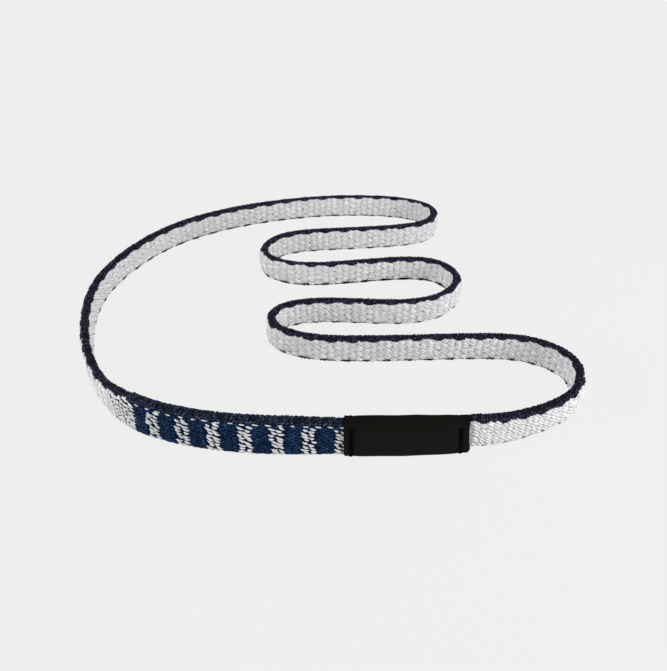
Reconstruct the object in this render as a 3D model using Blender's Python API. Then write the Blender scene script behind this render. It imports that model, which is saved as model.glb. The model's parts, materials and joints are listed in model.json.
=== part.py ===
"""A sewn climbing sling of narrow woven webbing, standing on its edge.

One strip makes the whole loop. One end of the strip is woven as a hollow sleeve,
wider than the rest, with a banded pattern. The other end, the tail, lies inside
that sleeve. Bar tacks sew the two together, and a label folded into a flat tube
covers the mouth of the sleeve, sewn down at both its ends.

Lengths are in metres. +X is to the right, +Y away from the viewer and +Z up.
A place is a distance along the loop, counted from the label's right end to the
left. Across the strip, u is the distance to its outer face and v the height
above its middle.
"""

import bpy
import numpy as np

MM = 0.001

# The strip of webbing
WEB_WIDTH = 8.0 * MM
WEB_THICKNESS = 2.8 * MM
SELVEDGE_HEIGHT = 1.2 * MM
SELVEDGE_ROUND = 1.05 * MM
FACE_CROWN = 0.25 * MM
CROWN_WIDTH = 1.1 * MM
WEAVE_GAP = 0.15 * MM
ROUND_SHARE = 0.4

# The bulge of the strip's faces in a tight bend, and the bend where it is full
BELLY = 1.0 * MM
BELLY_RADIUS = 9.0 * MM

# The hollow, patterned end
SLEEVE_LENGTH = 66.0 * MM
SLEEVE_WIDTH = 9.8 * MM
SLEEVE_THICKNESS = 3.3 * MM
SLEEVE_WALL = 0.45 * MM
SLEEVE_ROUND = 1.3 * MM
PRESSED_WIDTH = 9.4 * MM
PRESSED_THICKNESS = 2.9 * MM
BLIND_LENGTH = 6.5 * MM
NECK_LENGTH = 11.0 * MM
NECK_GAP = 0.3 * MM

# The label
LABEL_LENGTH = 28.5 * MM
LABEL_WALL = 0.3 * MM
LABEL_ROUND = 1.5 * MM
MOUTH_INSET = 12.0 * MM
SEAM_INSET = 1.8 * MM
SETTLE_LENGTH = 12.0 * MM

# The sewing
THREAD_DIAMETER = 0.3 * MM
THREAD_GAP = 0.12 * MM
STITCH_WIDTH = 0.9 * MM
TACK_COUNT = 5
GROUND_STITCHES = 5
NEEDLE_SHARE = 0.8

# The facets
LONGEST_STEP = 5.5 * MM
SHORTEST_STEP = 1.2 * MM
TURN_PER_STEP = 0.38
CORNER_POINTS = 3
THREAD_SIDES = 6
ROUTE_SAMPLES = 4000

# The middle line of the loop on the floor, from the label's right end to the left
ROUTE_MM = (
    (35.5, -57.9), (5.0, -59.1), (-20.0, -57.9), (-38.5, -52.7), (-49.5, -44.3),
    (-58.0, -31.0), (-63.6, -14.0), (-64.9, 3.0), (-60.6, 19.5), (-51.0, 35.2),
    (-36.5, 47.0), (-17.0, 55.4), (5.0, 59.7), (24.0, 59.2), (34.8, 55.5),
    (39.3, 49.6), (37.8, 42.7), (30.5, 37.9), (8.0, 34.5), (-9.0, 31.5),
    (-15.6, 25.7), (-16.2, 19.0), (-10.2, 13.5), (3.0, 12.0), (26.5, 14.9),
    (37.6, 12.0), (41.1, 3.8), (36.0, -4.8), (24.0, -8.8), (4.0, -8.2),
    (-7.0, -10.2), (-11.2, -14.4), (-10.6, -19.3), (-5.0, -23.7), (8.0, -26.0),
    (38.0, -25.2), (56.3, -26.9), (64.4, -34.6), (61.7, -46.2), (47.5, -54.5),
)

WHITE = (0.80, 0.80, 0.80)
NAVY = (0.010, 0.012, 0.045)
BLUE = (0.012, 0.050, 0.160)
BLACK = (0.009, 0.008, 0.006)
SEWING_WHITE = (0.62, 0.62, 0.60)
SEWING_BLACK = (0.004, 0.004, 0.004)


class Route:
    """A smooth closed line through points on the floor, read by distance along it."""

    def __init__(self, points):
        closed = np.vstack([points, points[:1]])
        spans = np.sqrt(np.hypot(*np.diff(closed, axis=0).T))
        spans = spans / spans.sum()
        slopes = self.slopes(closed, spans)
        knots = np.concatenate([[0.0], np.cumsum(spans)])
        at = np.linspace(0.0, 1.0, ROUTE_SAMPLES + 1)
        span = np.clip(np.searchsorted(knots, at, side="right") - 1, 0, len(spans) - 1)
        width = spans[span][:, None]
        t = (at[:, None] - knots[span][:, None]) / width
        self.points = (
            (2.0 * t**3 - 3.0 * t**2 + 1.0) * closed[span]
            + (t**3 - 2.0 * t**2 + t) * width * slopes[span]
            + (3.0 * t**2 - 2.0 * t**3) * closed[span + 1]
            + (t**3 - t**2) * width * slopes[(span + 1) % len(spans)]
        )
        steps = np.diff(self.points, axis=0)
        lengths = np.hypot(*steps.T)
        self.places = np.concatenate([[0.0], np.cumsum(lengths)])
        self.length = self.places[-1]
        along = steps / lengths[:, None]
        before = np.roll(along, 1, axis=0)
        self.along = np.vstack([along + before, along[:1] + before[:1]])
        self.along /= np.hypot(*self.along.T)[:, None]
        turn = before[:, 0] * along[:, 1] - before[:, 1] * along[:, 0]
        bend = turn / lengths
        self.bend = np.concatenate([bend, bend[:1]])

    @staticmethod
    def slopes(closed, spans):
        """The slope at each point that keeps the line's bend smooth there."""
        count = len(spans)
        system = np.zeros((count, count))
        right = np.zeros((count, 2))
        for i in range(count):
            before = spans[i - 1]
            after = spans[i]
            system[i, i - 1] += after
            system[i, i] += 2.0 * (before + after)
            system[i, (i + 1) % count] += before
            rise_after = (closed[i + 1] - closed[i]) / after
            rise_before = (closed[i] - closed[i - 1 if i else count - 1]) / before
            right[i] = 3.0 * (after * rise_before + before * rise_after)
        return np.linalg.solve(system, right)

    def frame(self, place):
        """The point, the direction and the outward direction at a place."""
        at = place % self.length
        point = np.array([np.interp(at, self.places, column) for column in self.points.T])
        along = np.array([np.interp(at, self.places, column) for column in self.along.T])
        along /= np.hypot(*along)
        return point, along, np.array([-along[1], along[0]])

    def curvature(self, place):
        """The bend at a place, positive where the line turns to its left."""
        return np.interp(place % self.length, self.places, self.bend)

    def grid(self, marks):
        """Places round the loop, closer together in the bends, with the marks among them."""
        places = [0.0]
        while places[-1] < self.length:
            bend = abs(self.curvature(places[-1] + SHORTEST_STEP))
            step = TURN_PER_STEP / max(bend, TURN_PER_STEP / LONGEST_STEP)
            places.append(places[-1] + max(SHORTEST_STEP, step))
        apart = SHORTEST_STEP / 2.0
        kept = [p for p in places[:-1] if all(abs(p - m) > apart for m in marks)]
        return sorted(kept + [m for m in marks])


class Layout:
    """The places along the loop where pieces begin and end, and the sizes there."""

    def __init__(self, route):
        self.route = route
        self.label_end = LABEL_LENGTH
        self.mouth = MOUTH_INSET
        self.neck = self.mouth + SLEEVE_LENGTH
        self.tail_end = self.neck - BLIND_LENGTH
        self.neck_start = self.neck + NECK_LENGTH
        self.right_seam = SEAM_INSET
        self.left_seam = LABEL_LENGTH - SEAM_INSET
        self.step_start = (self.right_seam + self.mouth) / 2.0
        self.settled_left = self.label_end + SETTLE_LENGTH
        self.settled_right = route.length - SETTLE_LENGTH
        self.marks = [
            0.0, self.right_seam, self.step_start, self.mouth, self.left_seam,
            self.label_end, self.settled_left, self.tail_end, self.neck - NECK_GAP / 2.0,
            self.neck + NECK_GAP / 2.0, self.neck_start, self.settled_right,
        ]
        self.grid = route.grid(self.marks)

    def between(self, start, end):
        """The grid's places from start to end, both of them among the marks."""
        count = int(np.ceil(end / self.route.length))
        turns = [np.array(self.grid) + self.route.length * i for i in range(count + 1)]
        places = np.concatenate(turns)
        slack = WEAVE_GAP / 2.0
        return [p for p in places if start - slack <= p <= end + slack]

    def inside_sleeve(self, place):
        return place % self.route.length <= self.tail_end + WEAVE_GAP

    def sleeve_size(self, place):
        """Width and thickness of the sleeve, pressed flatter beneath the label."""
        at = (self.label_end, self.settled_left)
        width = np.interp(place, at, (PRESSED_WIDTH, SLEEVE_WIDTH))
        thickness = np.interp(place, at, (PRESSED_THICKNESS, SLEEVE_THICKNESS))
        return width, thickness

    def web_size(self, place):
        """Width and thickness of the strip, which swells towards the sleeve's neck."""
        at = (self.neck, self.neck_start)
        width = np.interp(place % self.route.length, at, (SLEEVE_WIDTH, WEB_WIDTH))
        thickness = np.interp(place % self.route.length, at, (SLEEVE_THICKNESS, WEB_THICKNESS))
        return width, thickness

    def tail_size(self, place):
        """Width and thickness of the strip's tail, squeezed where it enters the sleeve."""
        sleeve_thickness = self.sleeve_size(place)[1]
        inner = sleeve_thickness - 2.0 * (SLEEVE_WALL + WEAVE_GAP)
        at = (self.step_start, self.mouth)
        return WEB_WIDTH, np.interp(place, at, (WEB_THICKNESS, inner))

    def strip_size(self, place):
        at = place % self.route.length
        if self.inside_sleeve(place):
            return self.tail_size(at)
        return self.web_size(at)

    def label_inside(self, place):
        """Width and thickness of the space inside the label."""
        at = (0.0, self.mouth - WEAVE_GAP)
        sewing = 2.0 * (THREAD_DIAMETER + 2.0 * THREAD_GAP)
        widths = (WEB_WIDTH + 2.0 * WEAVE_GAP, PRESSED_WIDTH + 2.0 * WEAVE_GAP)
        depths = (WEB_THICKNESS + 2.0 * WEAVE_GAP, PRESSED_THICKNESS + sewing)
        return np.interp(place, at, widths), np.interp(place, at, depths)

    def middle_height(self, place):
        """Height of the strip's middle, so that the widest piece there meets the floor."""
        at = place % self.route.length
        label_right = self.label_inside(0.0)[0] / 2.0 + LABEL_WALL
        label_left = self.label_inside(self.label_end)[0] / 2.0 + LABEL_WALL
        if at <= self.label_end:
            return self.label_inside(at)[0] / 2.0 + LABEL_WALL
        if at >= self.settled_right:
            ends = (self.settled_right, self.route.length)
            return np.interp(at, ends, (WEB_WIDTH / 2.0, label_right))
        if at <= self.neck:
            ends = (self.label_end, self.settled_left)
            return np.interp(at, ends, (label_left, SLEEVE_WIDTH / 2.0))
        return self.web_size(at)[0] / 2.0

    def spot(self, place, u, v):
        """A point at a place, u from the middle of the strip and v above it."""
        point, _, outward = self.route.frame(place)
        bend = self.route.curvature(place) * BELLY_RADIUS
        arch = 1.0 - (2.0 * v / SLEEVE_WIDTH) ** 2
        bulge = BELLY * np.clip(-bend, -1.0, 1.0) * arch
        x, y = point + outward * (u + bulge)
        return np.array([x, y, self.middle_height(place) + v])


def corner(cu, cv, radius):
    """Points of a rounded corner in the quarter where its centre lies, anticlockwise."""
    middle = np.arctan2(np.copysign(radius, cv), np.copysign(radius, cu))
    turns = middle + np.linspace(-np.pi, np.pi, CORNER_POINTS) / 4.0
    return [(cu + radius * np.cos(a), cv + radius * np.sin(a)) for a in turns]


def rounded_section(width, thickness, radius):
    """A flat section with rounded corners, anticlockwise from the outer face."""
    r = min(radius, width * ROUND_SHARE, thickness * ROUND_SHARE)
    cu = thickness / 2.0 - r
    cv = width / 2.0 - r
    centres = ((cu, cv), (-cu, cv), (-cu, -cv), (cu, -cv))
    return [point for centre in centres for point in corner(*centre, r)]


def ground_section(width, thickness):
    """The white ground of the strip, between its selvedges, with slightly crowned faces."""
    top = width / 2.0 - SELVEDGE_HEIGHT - WEAVE_GAP
    full = top - min(CROWN_WIDTH, top / 2.0)
    middle = thickness / 2.0
    side = middle - FACE_CROWN
    return [
        (side, top), (-side, top), (-middle, full), (-middle, -full),
        (-side, -top), (side, -top), (middle, -full), (middle, full),
    ]


def selvedge_section(width, thickness, sign):
    """A selvedge: flat towards the ground and rounded on the strip's edge."""
    edge = width / 2.0
    inner = edge - SELVEDGE_HEIGHT
    r = min(SELVEDGE_ROUND, thickness * ROUND_SHARE, SELVEDGE_HEIGHT)
    cu = thickness / 2.0 - r
    side = thickness / 2.0 - FACE_CROWN / 2.0
    points = [(-side, inner), (side, inner)] + corner(cu, edge - r, r)
    points += corner(-cu, edge - r, r)
    if sign < 0:
        points = [(u, -v) for u, v in reversed(points)]
    return points


def material(name, colour, roughness):
    made = bpy.data.materials.new(name)
    made.use_nodes = True
    shader = made.node_tree.nodes["Principled BSDF"]
    shader.inputs["Base Color"].default_value = (*colour, 1.0)
    shader.inputs["Roughness"].default_value = roughness
    shader.inputs["Metallic"].default_value = 0.0
    made.diffuse_color = (*colour, 1.0)
    return made


def body(name, points, faces, look, holder):
    mesh = bpy.data.meshes.new(name)
    mesh.from_pydata([tuple(p) for p in points], [], faces)
    mesh.validate()
    mesh.update()
    made = bpy.data.objects.new(name, mesh)
    bpy.context.scene.collection.objects.link(made)
    made.parent = holder
    if look:
        mesh.materials.append(look)
    return made


def skin(rings, closed=False):
    """Points and faces of a skin over rings, capped at both ends unless it is closed."""
    size = len(rings[0])
    points = [p for ring in rings for p in ring]
    faces = []
    pairs = len(rings) if closed else len(rings) - 1
    for i in range(pairs):
        low = i * size
        high = (i + 1) % len(rings) * size
        for j in range(size):
            k = (j + 1) % size
            faces.append((low + j, low + k, high + k, high + j))
    if not closed:
        last = (len(rings) - 1) * size
        faces.append(tuple(reversed(range(size))))
        faces.append(tuple(range(last, last + size)))
    return points, faces


def ring(layout, place, section):
    return [layout.spot(place, u, v) for u, v in section]


def thread_tube(path):
    """Points and faces of a thread along a line of straight stitches."""
    path = [np.array(p) for p in path]
    rays = [b - a for a, b in zip(path, path[1:])]
    rays = [r / np.linalg.norm(r) for r in rays]
    side = np.cross(rays[0], (0.0, 0.0, 1.0))
    if np.linalg.norm(side) < np.linalg.norm(rays[0]) / 2.0:
        side = np.cross(rays[0], (1.0, 0.0, 0.0))
    side /= np.linalg.norm(side)
    up = np.cross(rays[0], side)
    angles = np.linspace(0.0, 2.0 * np.pi, THREAD_SIDES, endpoint=False)
    radius = THREAD_DIAMETER / 2.0
    offsets = [radius * (np.cos(a) * side + np.sin(a) * up) for a in angles]
    rings = []
    for i, centre in enumerate(path):
        into = rays[max(i - 1, 0)]
        out = rays[min(i, len(rays) - 1)]
        flat = into + out
        offsets = [o - into * (o @ flat) / (into @ flat) for o in offsets]
        rings.append([centre + o for o in offsets])
        offsets = [o - out * (o @ out) for o in offsets]
    return skin(rings)


def join(parts):
    """Points and faces of several bodies as one mesh."""
    points = []
    faces = []
    for part_points, part_faces in parts:
        start = len(points)
        points += list(part_points)
        faces += [tuple(start + i for i in face) for face in part_faces]
    return points, faces


def ground_rows():
    """Heights of the needle holes in the ground of the strip."""
    top = WEB_WIDTH / 2.0 - SELVEDGE_HEIGHT - WEAVE_GAP
    return list(np.linspace(-top, top, GROUND_STITCHES) * NEEDLE_SHARE)


def seam_rows():
    """Heights of the needle holes of a label seam, the outer two through the selvedges."""
    edge = (WEB_WIDTH - SELVEDGE_HEIGHT) / 2.0
    return [-edge] + ground_rows() + [edge]


def needle_spots(place, rows):
    """Places and heights of a row of needle holes, in zigzag."""
    half = STITCH_WIDTH / 2.0
    return [(place + (half if i % 2 else -half), v) for i, v in enumerate(rows)]


def stitch_path(layout, spots, reach):
    """A thread that passes from face to face through each needle hole in turn."""
    path = []
    side = 1.0
    for place, v in spots:
        path.append(layout.spot(place, side * reach, v))
        path.append(layout.spot(place, -side * reach, v))
        side = -side
    return path


def hole_prism(layout, place, v, reach):
    """A square prism straight through the strip, wide enough for the thread and its gap."""
    half = THREAD_DIAMETER / 2.0 + WEAVE_GAP
    _, along, outward = layout.route.frame(place)
    middle = layout.spot(place, 0.0, v)
    along = np.array([*along, 0.0])
    outward = np.array([*outward, 0.0])
    up = np.array([0.0, 0.0, 1.0])
    rings = []
    for u in (reach, -reach):
        corners = ((-half, -half), (half, -half), (half, half), (-half, half))
        rings.append([middle + outward * u + along * a + up * b for a, b in corners])
    return skin(rings)


def tack_places(layout):
    """The bar tacks, spread evenly between the sleeve's mouth and the label's left seam."""
    return np.linspace(layout.mouth, layout.left_seam, TACK_COUNT + 2)[1:-1]


def seam_reach(layout, place):
    inside = layout.label_inside(place)[1]
    return inside / 2.0 + LABEL_WALL + THREAD_GAP + THREAD_DIAMETER / 2.0


def tack_reach():
    return PRESSED_THICKNESS / 2.0 + THREAD_GAP + THREAD_DIAMETER / 2.0


def make_strip(layout, holder):
    """The white ground and the two navy selvedges, round the loop and into the sleeve."""
    start = layout.neck + NECK_GAP / 2.0
    end = layout.route.length + layout.tail_end
    places = layout.between(start, end)
    white = material("white_webbing", WHITE, 0.8)
    navy = material("navy_selvedge", NAVY, 0.75)
    sections = {
        "web_ground": (ground_section, white),
        "upper_selvedge": (lambda w, t: selvedge_section(w, t, 1), navy),
        "lower_selvedge": (lambda w, t: selvedge_section(w, t, -1), navy.copy()),
    }
    made = {}
    for name, (section, look) in sections.items():
        rings = [ring(layout, p, section(*layout.strip_size(p))) for p in places]
        made[name] = body(name, *skin(rings), look, holder)
    return made


def make_sleeve(layout, holder):
    """The hollow end: closed at the neck, open at the mouth, with the tail's space inside."""
    inner_places = layout.between(layout.mouth, layout.tail_end)[:-1]
    inner_places.append(layout.tail_end + WEAVE_GAP)
    outer_places = layout.between(layout.mouth, layout.neck - NECK_GAP / 2.0)
    rings = []
    for place in reversed(inner_places):
        thickness = layout.sleeve_size(place)[1] - 2.0 * SLEEVE_WALL
        width = WEB_WIDTH + 2.0 * WEAVE_GAP
        rings.append(ring(layout, place, rounded_section(width, thickness, SELVEDGE_ROUND)))
    for place in outer_places:
        rings.append(ring(layout, place, rounded_section(*layout.sleeve_size(place), SLEEVE_ROUND)))
    look = material("patterned_weave", BLUE, 0.8)
    return body("patterned_sleeve", *skin(rings), look, holder)


def make_label(layout, holder):
    """The label, a flat tube open at both ends."""
    places = layout.between(0.0, layout.label_end)
    outer = []
    inner = []
    for place in places:
        width, thickness = layout.label_inside(place)
        wall = 2.0 * LABEL_WALL
        outer.append(ring(layout, place, rounded_section(width + wall, thickness + wall, LABEL_ROUND)))
        inner.append(ring(layout, place, rounded_section(width, thickness, LABEL_ROUND - LABEL_WALL)))
    look = material("black_label", BLACK, 0.55)
    return body("label_sleeve", *skin(outer + inner[::-1], closed=True), look, holder)


def make_sewing(layout, holder):
    """The bar tacks of the joint and the label's two end seams."""
    for i, place in enumerate(tack_places(layout)):
        name = f"bar_tack_{i + 1}"
        spots = needle_spots(place, ground_rows())
        path = stitch_path(layout, spots, tack_reach())
        body(name, *thread_tube(path), material(name + "_thread", SEWING_WHITE, 0.6), holder)
    for name, place in (("label_seam_right", layout.right_seam), ("label_seam_left", layout.left_seam)):
        spots = needle_spots(place, seam_rows())
        path = stitch_path(layout, spots, seam_reach(layout, place))
        body(name, *thread_tube(path), material(name + "_thread", SEWING_BLACK, 0.6), holder)


def make_needle_holes(layout, holder):
    """Guides for the needle holes, kept out of the model: those of the tacks and of the seams."""
    tack_half = PRESSED_THICKNESS / 2.0 + WEAVE_GAP
    tacks = []
    for place in tack_places(layout):
        spots = needle_spots(place, ground_rows())
        tacks += [hole_prism(layout, s, v, tack_half) for s, v in spots]
    seams = []
    for place in (layout.right_seam, layout.left_seam):
        reach = seam_reach(layout, place)
        seams += [hole_prism(layout, s, v, reach) for s, v in needle_spots(place, seam_rows())]
    made = []
    for name, parts in (("tack_holes", tacks), ("seam_holes", seams)):
        guide = body(name, *join(parts), None, holder)
        guide.hide_render = True
        guide.display_type = "WIRE"
        made.append(guide)
    return made


def pierce(piece, holes):
    cut = piece.modifiers.new(holes.name, "BOOLEAN")
    cut.operation = "DIFFERENCE"
    cut.solver = "EXACT"
    cut.object = holes


def centre(holder):
    """Moves the holder so that the model stands with its box centred over the origin."""
    shown = [o for o in bpy.data.objects if o.type == "MESH" and not o.hide_render]
    corners = np.array([vertex.co for o in shown for vertex in o.data.vertices])
    middle = (corners.min(axis=0) + corners.max(axis=0)) / 2.0
    holder.location = (-middle[0], -middle[1], -corners.min(axis=0)[2])


def main():
    for old in list(bpy.data.objects):
        bpy.data.objects.remove(old)
    holder = bpy.data.objects.new("sling", None)
    bpy.context.scene.collection.objects.link(holder)
    layout = Layout(Route(np.array(ROUTE_MM) * MM))
    strip = make_strip(layout, holder)
    sleeve = make_sleeve(layout, holder)
    label = make_label(layout, holder)
    make_sewing(layout, holder)
    tack_holes, seam_holes = make_needle_holes(layout, holder)
    pierce(sleeve, tack_holes)
    pierce(strip["web_ground"], tack_holes)
    for piece in (sleeve, label, *strip.values()):
        pierce(piece, seam_holes)
    centre(holder)
    print("Loop, once round:", round(layout.route.length / MM, 1), "mm")


main()
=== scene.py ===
"""Looks of a sewn climbing sling of narrow woven webbing, standing on its edge.

The tape is built yarn by yarn: plump white floats on a pale core, navy loops over
both its edges, and white and blue floats in bands on its hollow end. The label is a
folded satin tape with a zigzag seam at each end.

Lengths are in metres. A place is a distance along the loop, counted from the label's
right end to the left. A reach is a distance round the tape's section, counted from
the middle of its upper edge: more than zero on its outer face, less on its inner one.
"""

import json
from collections import namedtuple

import bpy
import numpy as np
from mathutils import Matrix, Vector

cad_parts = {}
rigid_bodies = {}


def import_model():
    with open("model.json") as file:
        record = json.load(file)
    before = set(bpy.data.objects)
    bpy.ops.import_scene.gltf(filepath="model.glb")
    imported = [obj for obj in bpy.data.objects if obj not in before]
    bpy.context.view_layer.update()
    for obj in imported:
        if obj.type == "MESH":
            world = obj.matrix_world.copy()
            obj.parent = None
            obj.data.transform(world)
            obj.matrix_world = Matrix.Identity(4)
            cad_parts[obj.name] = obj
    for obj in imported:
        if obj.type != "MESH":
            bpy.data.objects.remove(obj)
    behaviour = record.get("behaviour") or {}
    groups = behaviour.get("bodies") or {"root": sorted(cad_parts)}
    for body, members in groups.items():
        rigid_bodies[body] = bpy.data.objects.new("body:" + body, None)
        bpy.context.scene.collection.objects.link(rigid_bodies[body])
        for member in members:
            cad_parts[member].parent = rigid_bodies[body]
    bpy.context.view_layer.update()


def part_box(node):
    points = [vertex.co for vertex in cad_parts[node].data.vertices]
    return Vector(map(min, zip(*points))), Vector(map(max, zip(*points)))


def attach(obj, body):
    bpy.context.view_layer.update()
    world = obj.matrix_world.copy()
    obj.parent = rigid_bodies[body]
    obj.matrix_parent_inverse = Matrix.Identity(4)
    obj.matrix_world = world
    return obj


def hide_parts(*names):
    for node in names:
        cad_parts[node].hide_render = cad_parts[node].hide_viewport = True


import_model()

MM = 0.001

# The strip and its hollow end, with their yarns on
WEB_WIDTH = 8.0 * MM
WEB_THICKNESS = 2.8 * MM
SLEEVE_LENGTH = 66.0 * MM
SLEEVE_WIDTH = 10.3 * MM
SLEEVE_THICKNESS = 4.1 * MM
SLEEVE_WALL = 0.45 * MM
PRESSED_WIDTH = 9.7 * MM
PRESSED_THICKNESS = 3.7 * MM
BLIND_LENGTH = 6.5 * MM
NECK_LENGTH = 14.0 * MM
FLARE_LENGTH = 17.0 * MM
FLARE_WIDTH = 0.9 * MM
FLARE_THICKNESS = 0.9 * MM
FLARE_MIDDLE = 5.4 * MM
FLARE_DRIFT = 0.3 * MM
TAIL_WIDTH = 7.6 * MM
TAIL_SETTLE = 2.0 * MM
TACKS = 5
WEAVE_GAP = 0.15 * MM
BELLY = 1.0 * MM
BELLY_RADIUS = 9.0 * MM
EDGE_ROUND_SHARE = 0.46

# The label; its ripple's waves are in radians in a metre, along it and round it
LABEL_LENGTH = 28.5 * MM
LABEL_RIGHT_WIDTH = 9.4 * MM
LABEL_LEFT_WIDTH = 10.1 * MM
LABEL_RIGHT_THICKNESS = 4.3 * MM
LABEL_LEFT_THICKNESS = 4.4 * MM
LABEL_ROUND = 1.4 * MM
LABEL_LEAN = 1.1 * MM
LABEL_WALL = 0.3 * MM
LABEL_RIPPLE = 0.05 * MM
RIPPLE_WAVES = ((520.0, 240.0), (210.0, -410.0))
LABEL_STEP = 0.25 * MM
LABEL_SIDES = 72
MOUTH_INSET = 12.0 * MM
SETTLE_LENGTH = 12.0 * MM

# How far the label's ends are cut back, by share of half its round: below zero on its inner face
TRIM_SHARES = (-1.0, -0.85, -0.75, -0.1, 0.0, 0.2, 0.5, 0.7, 0.8, 0.87, 1.0)
RIGHT_TRIMS = np.array((2.2, 1.5, 0.5, 0.0, 0.1, 0.9, 0.9, 0.6, 1.0, 1.8, 2.2)) * MM
LEFT_TRIMS = np.array((1.0, 0.6, 0.1, 0.2, 0.3, 0.0, 0.0, 0.0, 0.2, 0.6, 1.0)) * MM

# The label's seams
SEAM_PLACES = (2.65 * MM, 26.75 * MM)
SEAM_WIDTH = 1.1 * MM
SEAM_STEP = 0.42 * MM
SEAM_THREAD = 0.40 * MM
SEAM_MARGIN = 2.4 * MM
SEAM_DIP = 0.11 * MM
SEAM_ARCH = 0.22 * MM
SEAM_SINK = 0.08 * MM
SEAM_SIDES = 6
STITCH_POINTS = 4

# The weave: a column holds a float in one row of each cycle, shifted from column to column
ROW_STEP = 0.60 * MM
ROW_CYCLE = 3
FINE_ROW_STEP = 0.58 * MM
BAND_ROW_STEP = 0.50 * MM
FINE_ROW_CYCLE = 2
MOST_ROWS = 22
FIRST_ROW_SHARE = 1.05
PAIR_STEP = 0.66 * MM
CORE_DEPTH = 0.26 * MM
CORE_SIDES = 32
CORE_STEP = 0.8 * MM
COLUMNS_PER_WAVE = 3
WAVE_HEIGHT = 0.32 * MM
LOWER_WAVE_HEIGHT = 0.34 * MM
WAVE_FADE_ROWS = 3.0
LOWER_WAVE_SHIFT = 1.0 / 3.0
FINE_STEP = 1.1 * MM
SETTLED_WAVE = 1
SEED = 7

# The navy edges
LOWER_BORDER = 1.30 * MM
SLEEVE_BORDER = 1.65 * MM
SLEEVE_LOWER_BORDER = 0.95 * MM
SLEEVE_EDGE_RISE = 0.12 * MM
EDGE_STEP = 0.68 * MM
SLEEVE_EDGE_STEP = 0.54 * MM
UPPER_ROWS = 3
SLEEVE_ROWS = 4
LOWER_ROWS = 2
BORDER_PER_WAVE = 6
BORDER_INSET = 0.10 * MM
LOOP_SPAN_SHARE = 0.62
LOOP_RISE_SHARE = 1.0 / 3.0
SKIN_COLUMNS = 8
SKIN_STEP = 0.4 * MM
SKIN_LIFT = -0.17 * MM
SKIN_THICKNESS = 0.25 * MM
# The skin beneath the navy loops takes no painted highlight and is painted half into shade
SKIN_TONE = 0.0
SKIN_CREST = 0.5

# The bands of the hollow end
BAND_PERIOD = 7.04 * MM
BAND_PLACE = 29.0 * MM
BAND_OFFSET = 0.80 * MM
BAND_HALF = 1.7 * MM
BLUE_COLUMNS = 8
DASH_STEP = 2.75 * MM
NECK_WHITE_PLACE = 76.6 * MM
NECK_COLUMN_STEP = 0.80 * MM
NECK_NAVY_LENGTH = 6.0 * MM
NECK_NAVY_DEPTH = 0.24 * MM

# The floats: size, lift off the tape, tilt in degrees, rings, sharpness and looseness
Yarn = namedtuple("Yarn", "length width depth lift tilt rings sharpness looseness")
OUTER_FLOAT = Yarn(2.50 * MM, 0.78 * MM, 0.46 * MM, -0.17 * MM, 34.0, 6, 0.7, 1.0)
INNER_FLOAT = Yarn(2.40 * MM, 0.78 * MM, 0.46 * MM, -0.17 * MM, 30.0, 6, 0.7, 1.0)
FINE_FLOAT = Yarn(1.85 * MM, 0.78 * MM, 0.42 * MM, -0.18 * MM, 24.0, 7, 0.6, 1.0)
BAND_FLOAT = Yarn(1.98 * MM, 0.66 * MM, 0.50 * MM, -0.12 * MM, 21.0, 9, 1.1, 2.5)
BLUE_FLOAT = Yarn(1.90 * MM, 0.90 * MM, 0.42 * MM, -0.20 * MM, 8.0, 7, 0.5, 1.0)
DASH_FLOAT = Yarn(1.80 * MM, 0.37 * MM, 0.36 * MM, -0.08 * MM, 5.0, 7, 0.8, 1.2)
EDGE_LOOP = Yarn(1.45 * MM, 0.56 * MM, 0.46 * MM, -0.17 * MM, -62.0, 5, 0.5, 1.0)
BORDER_FLOAT = Yarn(1.45 * MM, 0.60 * MM, 0.46 * MM, -0.12 * MM, 6.0, 5, 0.5, 1.0)
FLOAT_SIDES = 6

# How far the floats stray, how they end, how light they are at random and how much of them is painted
# in shade, from nothing to full
PLACE_JITTER = 0.17 * MM
REACH_JITTER = 0.08 * MM
LIFT_JITTER = 0.07 * MM
SIZE_JITTER_SHARE = 0.12
TILT_JITTER = 7.0
END_POWER = 2.2
END_SWELL_SHARE = 0.02
END_DIVE_SHARE = 1.1
GRAIN_SPREAD = 3.0
SIDE_CREST = 0.40
YARN_TONES = (0.0, 1.4)
# On navy loops and border floats a tone sets how much painted highlight they take; the border rows take
# more
LOOP_TONES = (0.0, 1.2)
BORDER_TONES = (0.2, 1.4)
BLUE_TONES = (0.35, 1.00)
PLAIN_TONE = 0.5
FULL_CREST = 1.0

# Where the scallops of the navy border were counted, from the neck to the label
WAVE_PLACES = np.array((
    76.6, 81.8, 87.0, 140.9, 266.7, 289.1, 333.4, 358.9, 402.0, 428.6, 458.6, 485.8,
    541.5, 575.0, 600.2, 605.2,
)) * MM
WAVE_COUNTS = np.array((-1, 0, 1, 10, 29, 33, 40, 44, 51, 55, 60, 65, 75, 81, 86, 87))

# Reach of the upper navy border along the outer face and along the inner face
OUTER_BORDER_PLACES = np.array((
    78.0, 92.0, 200.0, 288.0, 310.0, 345.0, 426.0, 445.0, 462.0, 510.0, 572.0, 585.0,
    590.0, 596.0, 602.0,
)) * MM
OUTER_BORDER = np.array((
    1.05, 0.95, 1.4, 1.75, 1.45, 1.9, 1.2, 1.6, 1.75, 1.4, 1.2, 1.7, 1.7, 1.75, 1.6,
)) * MM
INNER_BORDER_PLACES = np.array((
    78.0, 138.0, 165.0, 190.0, 213.0, 226.0, 265.0, 300.0, 357.0, 371.0, 395.0, 420.0,
    486.0, 500.0, 519.0, 536.0, 560.0, 602.0,
)) * MM
INNER_BORDER = np.array((
    1.6, 1.75, 2.05, 2.05, 1.85, 1.4, 1.25, 1.3, 1.1, 1.5, 1.75, 1.6,
    1.5, 1.85, 1.4, 1.6, 1.5, 1.4,
)) * MM

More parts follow.
